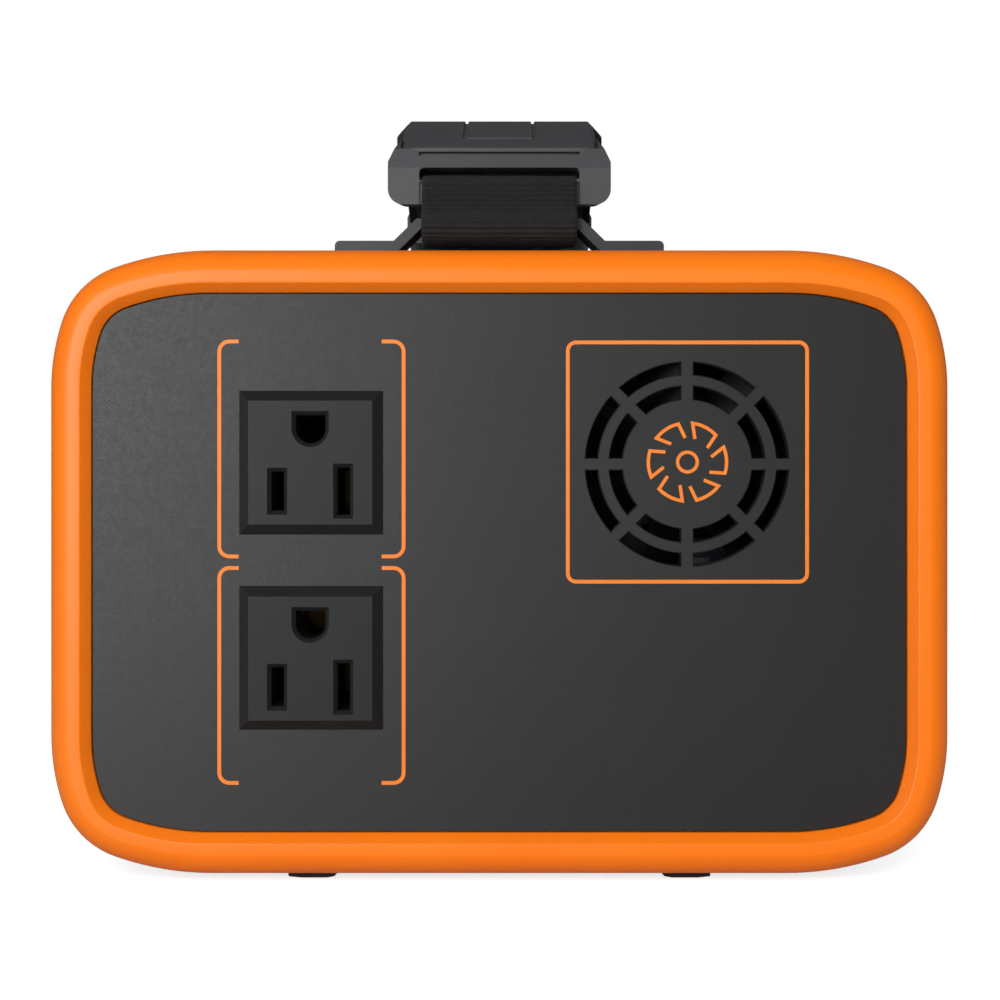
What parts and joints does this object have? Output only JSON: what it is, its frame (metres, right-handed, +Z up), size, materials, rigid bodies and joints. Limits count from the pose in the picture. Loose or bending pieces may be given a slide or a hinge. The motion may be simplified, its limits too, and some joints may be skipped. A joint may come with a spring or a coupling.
{
  "type": "power station",
  "caption": "Compact camping power station with an outlet face, fan vent, control face with ports and lamp, rubber feet and a strap-hung carry grip over the top.",
  "frame": {"origin": "Middle of the footprint on the surface that the feet stand on.", "axes": "+Z is up. -Y looks out of the outlet face and +Y out of the control face. +X is the long side, to the right when looking at the outlet face."},
  "size_m": [0.175, 0.1, 0.1571],
  "materials": {
    "bezel_abs": "moulded ABS, orange, fine satin texture",
    "panel_abs": "moulded ABS, dark grey, fine grain",
    "sleeve_abs": "moulded ABS, dark grey, spark-eroded grain",
    "foot_rubber": "moulded rubber, matt",
    "screw_steel": "zinc-plated steel",
    "bracket_steel": "powder-coated steel",
    "receptacle_pc": "moulded polycarbonate, dark grey",
    "contact_brass": "pressed brass",
    "fan_pbt": "moulded PBT, black",
    "cell_wrap": "shrink wrap over steel can",
    "holder_abs": "moulded ABS, black",
    "nickel": "nickel strip",
    "board": "fibreglass board with solder mask",
    "ferrite": "ferrite core with taped winding",
    "sink_aluminium": "extruded aluminium",
    "component_epoxy": "moulded epoxy",
    "capacitor_sleeve": "shrink sleeve over aluminium can",
    "port_steel": "stamped steel port shell",
    "jack_plastic": "moulded nylon, black",
    "display_glass": "display panel, unlit",
    "window_acrylic": "clear hard-coated acrylic",
    "lens_diffuser": "frosted polycarbonate",
    "reflector_white": "white moulded plastic",
    "led": "light-emitting diode",
    "button_silicone": "moulded button cap, dark grey",
    "button_orange": "moulded button cap, orange",
    "switch_body": "tactile switch body",
    "webbing": "woven polyester webbing, black",
    "grip_nylon": "moulded glass-filled nylon, dark grey",
    "grip_core_nylon": "moulded nylon, black",
    "grip_tpe": "soft overmoulded elastomer, ribbed",
    "lead_pvc": "PVC insulated wire"
  },
  "bodies": {
    "case": {"ac_bezel": "bezel_abs", "dc_bezel": "bezel_abs", "ac_panel": "panel_abs", "dc_panel": "panel_abs", "upper_shell": "sleeve_abs", "lower_shell": "sleeve_abs", "feet": "foot_rubber", "shell_screws": "screw_steel", "bezel_screws": "screw_steel", "upper_receptacle": "receptacle_pc", "lower_receptacle": "receptacle_pc", "upper_contacts": "contact_brass", "lower_contacts": "contact_brass", "fan_frame": "fan_pbt", "fan_screws": "screw_steel", "battery_cells": "cell_wrap", "cell_holders": "holder_abs", "cell_links": "nickel", "battery_board": "board", "battery_strap": "bracket_steel", "battery_screws": "screw_steel", "inverter_board": "board", "inverter_transformer": "ferrite", "heatsinks": "sink_aluminium", "power_transistors": "component_epoxy", "bulk_capacitors": "capacitor_sleeve", "board_screws": "screw_steel", "control_board": "board", "control_screws": "screw_steel", "display_module": "display_glass", "display_window": "window_acrylic", "usb_a_ports": "port_steel", "usb_c_port": "port_steel", "dc_jacks": "jack_plastic", "button_switches": "switch_body", "lamp_lens": "lens_diffuser", "lamp_reflector": "reflector_white", "lamp_leds": "led", "front_bracket": "bracket_steel", "rear_bracket": "bracket_steel", "bracket_screws": "screw_steel", "front_webbing": "webbing", "rear_webbing": "webbing", "ac_leads": "lead_pvc", "battery_leads": "lead_pvc", "fan_lead": "lead_pvc"},
    "handle": {"grip_core": "grip_core_nylon", "grip_cover": "grip_nylon", "grip_base": "grip_nylon", "left_grip_pad": "grip_tpe", "right_grip_pad": "grip_tpe", "front_end_frame": "grip_nylon", "rear_end_frame": "grip_nylon", "webbing_pins": "screw_steel", "grip_screws": "screw_steel"},
    "fan": {"fan_rotor": "fan_pbt"},
    "power_button_cap": {"power_button": "button_orange"},
    "ac_button_cap": {"ac_button": "button_silicone"},
    "dc_button_cap": {"dc_button": "button_silicone"},
    "lamp_button_cap": {"lamp_button": "button_silicone"}
  },
  "joints": [
    {"name": "handle_lift", "type": "slide", "parent": "case", "child": "handle", "axis": [0, 0, 1], "range_m": [0, 0.004], "deforming": ["front_webbing", "rear_webbing"]},
    {"name": "fan_spin", "type": "hinge", "parent": "case", "child": "fan", "pos_m": [0.0363, -0.0395, 0.08145], "axis": [0, -1, 0], "continuous": true},
    {"name": "power_press", "type": "slide", "parent": "case", "child": "power_button_cap", "axis": [0, -1, 0], "range_m": [0, 0.001], "stiffness_N_per_m": 800, "springref_m": -0.0005},
    {"name": "ac_press", "type": "slide", "parent": "case", "child": "ac_button_cap", "axis": [0, -1, 0], "range_m": [0, 0.001], "stiffness_N_per_m": 800, "springref_m": -0.0005},
    {"name": "dc_press", "type": "slide", "parent": "case", "child": "dc_button_cap", "axis": [0, -1, 0], "range_m": [0, 0.001], "stiffness_N_per_m": 800, "springref_m": -0.0005},
    {"name": "lamp_press", "type": "slide", "parent": "case", "child": "lamp_button_cap", "axis": [0, -1, 0], "range_m": [0, 0.001], "stiffness_N_per_m": 800, "springref_m": -0.0005}
  ]
}
